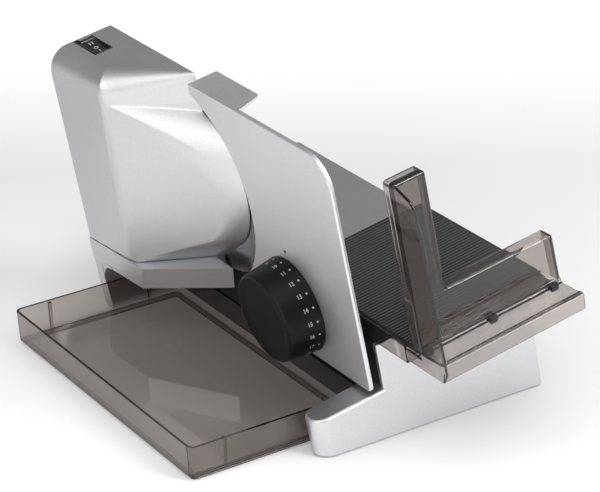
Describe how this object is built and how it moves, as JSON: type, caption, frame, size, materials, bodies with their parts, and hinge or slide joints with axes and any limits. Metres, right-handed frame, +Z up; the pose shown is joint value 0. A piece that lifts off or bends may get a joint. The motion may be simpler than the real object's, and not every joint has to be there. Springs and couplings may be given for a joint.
{
  "type": "food slicer",
  "caption": "Electric food slicer with a leaning round blade, a dial-set stop plate, a sliding food carriage with a smoky pusher wall and a catch tray on the worktop.",
  "frame": {"origin": "centre of the bounding box at the worktop, under the rubber feet", "axes": "+Z up from the worktop, +X to the user's right, +Y away from the user along the carriage travel"},
  "size_m": [0.2924, 0.4094, 0.2389],
  "materials": {
    "silver": "satin silver paint over die-cast aluminium",
    "plate_silver": "satin silver",
    "black_plastic": "fine-grained",
    "switch_black": "satin",
    "knob_black": "satin, printed numbers",
    "smoky": "clear smoke-tinted, polished",
    "table_dark": "ribbed, satin",
    "rubber": "matt",
    "blade_steel": "ground and polished",
    "steel": "bright",
    "zinc_steel": "zinc plated",
    "rail_aluminium": "drawn",
    "gear_plastic": "natural",
    "bronze": "sintered"
  },
  "bodies": {
    "base": {"front_leg": "silver", "chassis": "black_plastic", "lower_shell": "silver", "bottom_cover": "black_plastic", "motor_housing": "silver", "gear_cover": "black_plastic", "cable_gland": "rubber", "rubber_feet": "rubber", "housing_screws": "steel", "motor_can": "zinc_steel", "motor_bracket": "zinc_steel", "bracket_screws": "steel", "idler_axle": "steel", "blade_bush": "bronze", "switch_frame": "black_plastic", "guide_bushes": "gear_plastic", "adjuster_bracket": "zinc_steel", "adjuster_screw": "steel", "bracket_rivets": "steel", "guide_rail": "rail_aluminium", "rail_screws": "steel"},
    "blade": {"blade": "blade_steel", "blade_gear": "gear_plastic", "blade_lock": "blade_steel"},
    "idler": {"idler_gear": "steel"},
    "rotor": {"motor_pinion": "steel", "motor_armature": "zinc_steel"},
    "rocker": {"switch_rocker": "switch_black"},
    "plate": {"stop_plate": "plate_silver", "plate_guides": "steel", "knob_carrier": "black_plastic"},
    "knob": {"knob": "knob_black", "knob_nut": "knob_black"},
    "carriage": {"carriage_table": "table_dark", "carriage_skirt": "smoky", "carriage_wall": "smoky", "carriage_shoes": "gear_plastic", "wall_clips": "black_plastic"},
    "tray": {"catch_tray": "smoky"}
  },
  "joints": [
    {"name": "carriage_slide", "type": "slide", "parent": "base", "child": "carriage", "axis": [0, 1, 0], "range_m": [0, 0.226]},
    {"name": "plate_slide", "type": "slide", "parent": "base", "child": "plate", "axis": [0.9848, 0, 0.1736], "range_m": [-0.01, 0.0095]},
    {"name": "knob_turn", "type": "hinge", "parent": "plate", "child": "knob", "pos_m": [-0.00578, -0.033, 0.08582], "axis": [0.9848, 0, 0.1736], "range_deg": [-173, 164.5]},
    {"name": "blade_spin", "type": "hinge", "parent": "base", "child": "blade", "pos_m": [-0.01633, 0.094, 0.14564], "axis": [0.9848, 0, 0.1736], "continuous": true},
    {"name": "idler_spin", "type": "hinge", "parent": "base", "child": "idler", "pos_m": [-0.01633, 0.136, 0.14564], "axis": [0.9848, 0, 0.1736], "continuous": true},
    {"name": "motor_spin", "type": "hinge", "parent": "base", "child": "rotor", "pos_m": [-0.01633, 0.16, 0.14564], "axis": [0.9848, 0, 0.1736], "continuous": true},
    {"name": "switch_rock", "type": "hinge", "parent": "base", "child": "rocker", "pos_m": [-0.06172, 0.1787, 0.2303], "axis": [-0.9848, 0, -0.1736], "range_deg": [0, 14.5]},
    {"name": "tray_slide", "type": "slide", "parent": "base", "child": "tray", "axis": [-1, 0, 0], "range_m": [0, 0.15]}
  ],
  "couplings": [
    {"joint": "knob_turn", "follows": "plate_slide", "rad_per_m": 299.2},
    {"joint": "idler_spin", "follows": "blade_spin", "ratio": -6},
    {"joint": "motor_spin", "follows": "blade_spin", "ratio": 30}
  ]
}
